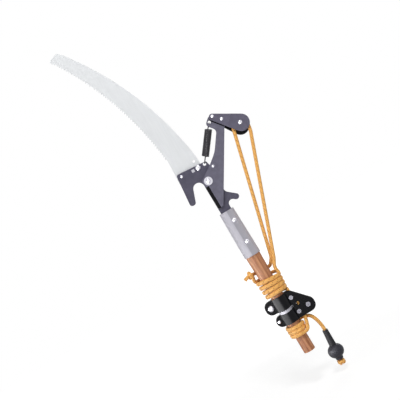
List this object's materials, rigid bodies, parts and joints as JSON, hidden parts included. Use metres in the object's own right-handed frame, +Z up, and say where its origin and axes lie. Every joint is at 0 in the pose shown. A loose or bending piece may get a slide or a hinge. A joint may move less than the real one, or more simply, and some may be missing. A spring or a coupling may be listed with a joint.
{
  "type": "tree pruner pole head",
  "caption": "Tree pruner head on a wooden pole: curved saw blade, rope-pulled lopper lever with pulley and return spring, wound pull rope, clamp bracket and ball handle.",
  "frame": {"origin": "centre of the pole's lower end face", "axes": "+Z up along the pole to the saw, +X to the side of the pulley and handle, +Y away from the lever towards the back of the hook plate"},
  "size_m": [0.2833, 0.0453, 0.8288],
  "materials": {
    "wood": "satin",
    "socket_alloy": "satin",
    "bright_rivet": "polished",
    "plate_coat": "satin grey coat",
    "lever_coat": "satin grey coat",
    "blade_steel": "bright plated",
    "zinc": "zinc plated",
    "black_coat": "satin black coat",
    "spring_wire": "oiled dark wire",
    "sheave_nylon": "moulded",
    "rope": "braided cord",
    "sleeve_rubber": "matte",
    "handle_plastic": "moulded"
  },
  "bodies": {
    "pole": {"wooden_pole": "wood", "socket": "socket_alloy", "socket_rivets": "bright_rivet", "hook_plate": "plate_coat", "saw_blade": "blade_steel", "saw_bolt": "zinc", "saw_nut": "zinc", "saw_rivet": "bright_rivet", "saw_key": "bright_rivet", "pivot_bolt": "zinc", "pivot_nut": "zinc", "bracket_front": "black_coat", "bracket_rear": "black_coat", "bracket_liner": "socket_alloy", "ear_bolt": "zinc", "ear_nut": "zinc", "ear_screw": "zinc", "ear_screw_nut": "zinc", "wing_screws": "zinc", "wing_spacers": "zinc", "wing_nuts": "zinc", "guide_axle": "zinc", "guide_axle_nut": "zinc", "rope_anchor": "rope", "rope_end": "rope", "rope_knot": "rope", "rope_upper_winding": "rope", "rope_guide_strand": "rope", "rope_lower_winding": "rope", "rope_tail": "rope", "handle_sleeve": "sleeve_rubber", "handle_ball": "handle_plastic", "handle_knot": "rope"},
    "lever": {"cutting_lever": "lever_coat", "lever_stop_pin": "bright_rivet", "cheek_front": "lever_coat", "cheek_rear": "black_coat", "cheek_rivets": "bright_rivet", "pulley_axle": "bright_rivet", "spring_upper_hook": "spring_wire"},
    "pulley": {"pulley_sheave": "sheave_nylon"},
    "rope_over_pulley": {"rope_loop": "rope"},
    "spring_lower": {"spring_lower_hook": "spring_wire"},
    "spring_coil": {"return_spring": "spring_wire"},
    "guide_wheel": {"guide_sheave": "sheave_nylon"}
  },
  "joints": [
    {"name": "lever_pivot", "type": "hinge", "parent": "pole", "child": "lever", "pos_m": [0, -0.0053, 0.394], "axis": [0, 1, 0], "range_deg": [0, 50], "stiffness_Nm_per_rad": 1.6, "springref_deg": -17.19},
    {"name": "pulley_spin", "type": "hinge", "parent": "lever", "child": "pulley", "pos_m": [0.1145, -0.0053, 0.462], "axis": [0, 1, 0], "continuous": true},
    {"name": "rope_swing", "type": "hinge", "parent": "lever", "child": "rope_over_pulley", "pos_m": [0.1145, -0.0053, 0.462], "axis": [0, 1, 0], "range_deg": [-36, 0], "deforming": ["rope_loop"]},
    {"name": "spring_lower_turn", "type": "hinge", "parent": "pole", "child": "spring_lower", "pos_m": [0.011, -0.00265, 0.427], "axis": [0, 1, 0], "range_deg": [0, 61.5]},
    {"name": "spring_stretch", "type": "slide", "parent": "spring_lower", "child": "spring_coil", "axis": [0.6086, 0, 0.7935], "range_m": [0, 0.0226], "deforming": ["return_spring"]},
    {"name": "guide_spin", "type": "hinge", "parent": "pole", "child": "guide_wheel", "pos_m": [0.0441, 0, 0.082], "axis": [0, 1, 0], "continuous": true}
  ],
  "couplings": [
    {"joint": "rope_swing", "follows": "lever_pivot", "ratio": -0.716},
    {"joint": "spring_lower_turn", "follows": "lever_pivot", "ratio": 1.229},
    {"joint": "spring_stretch", "follows": "lever_pivot", "m_per_rad": 0.02585}
  ]
}
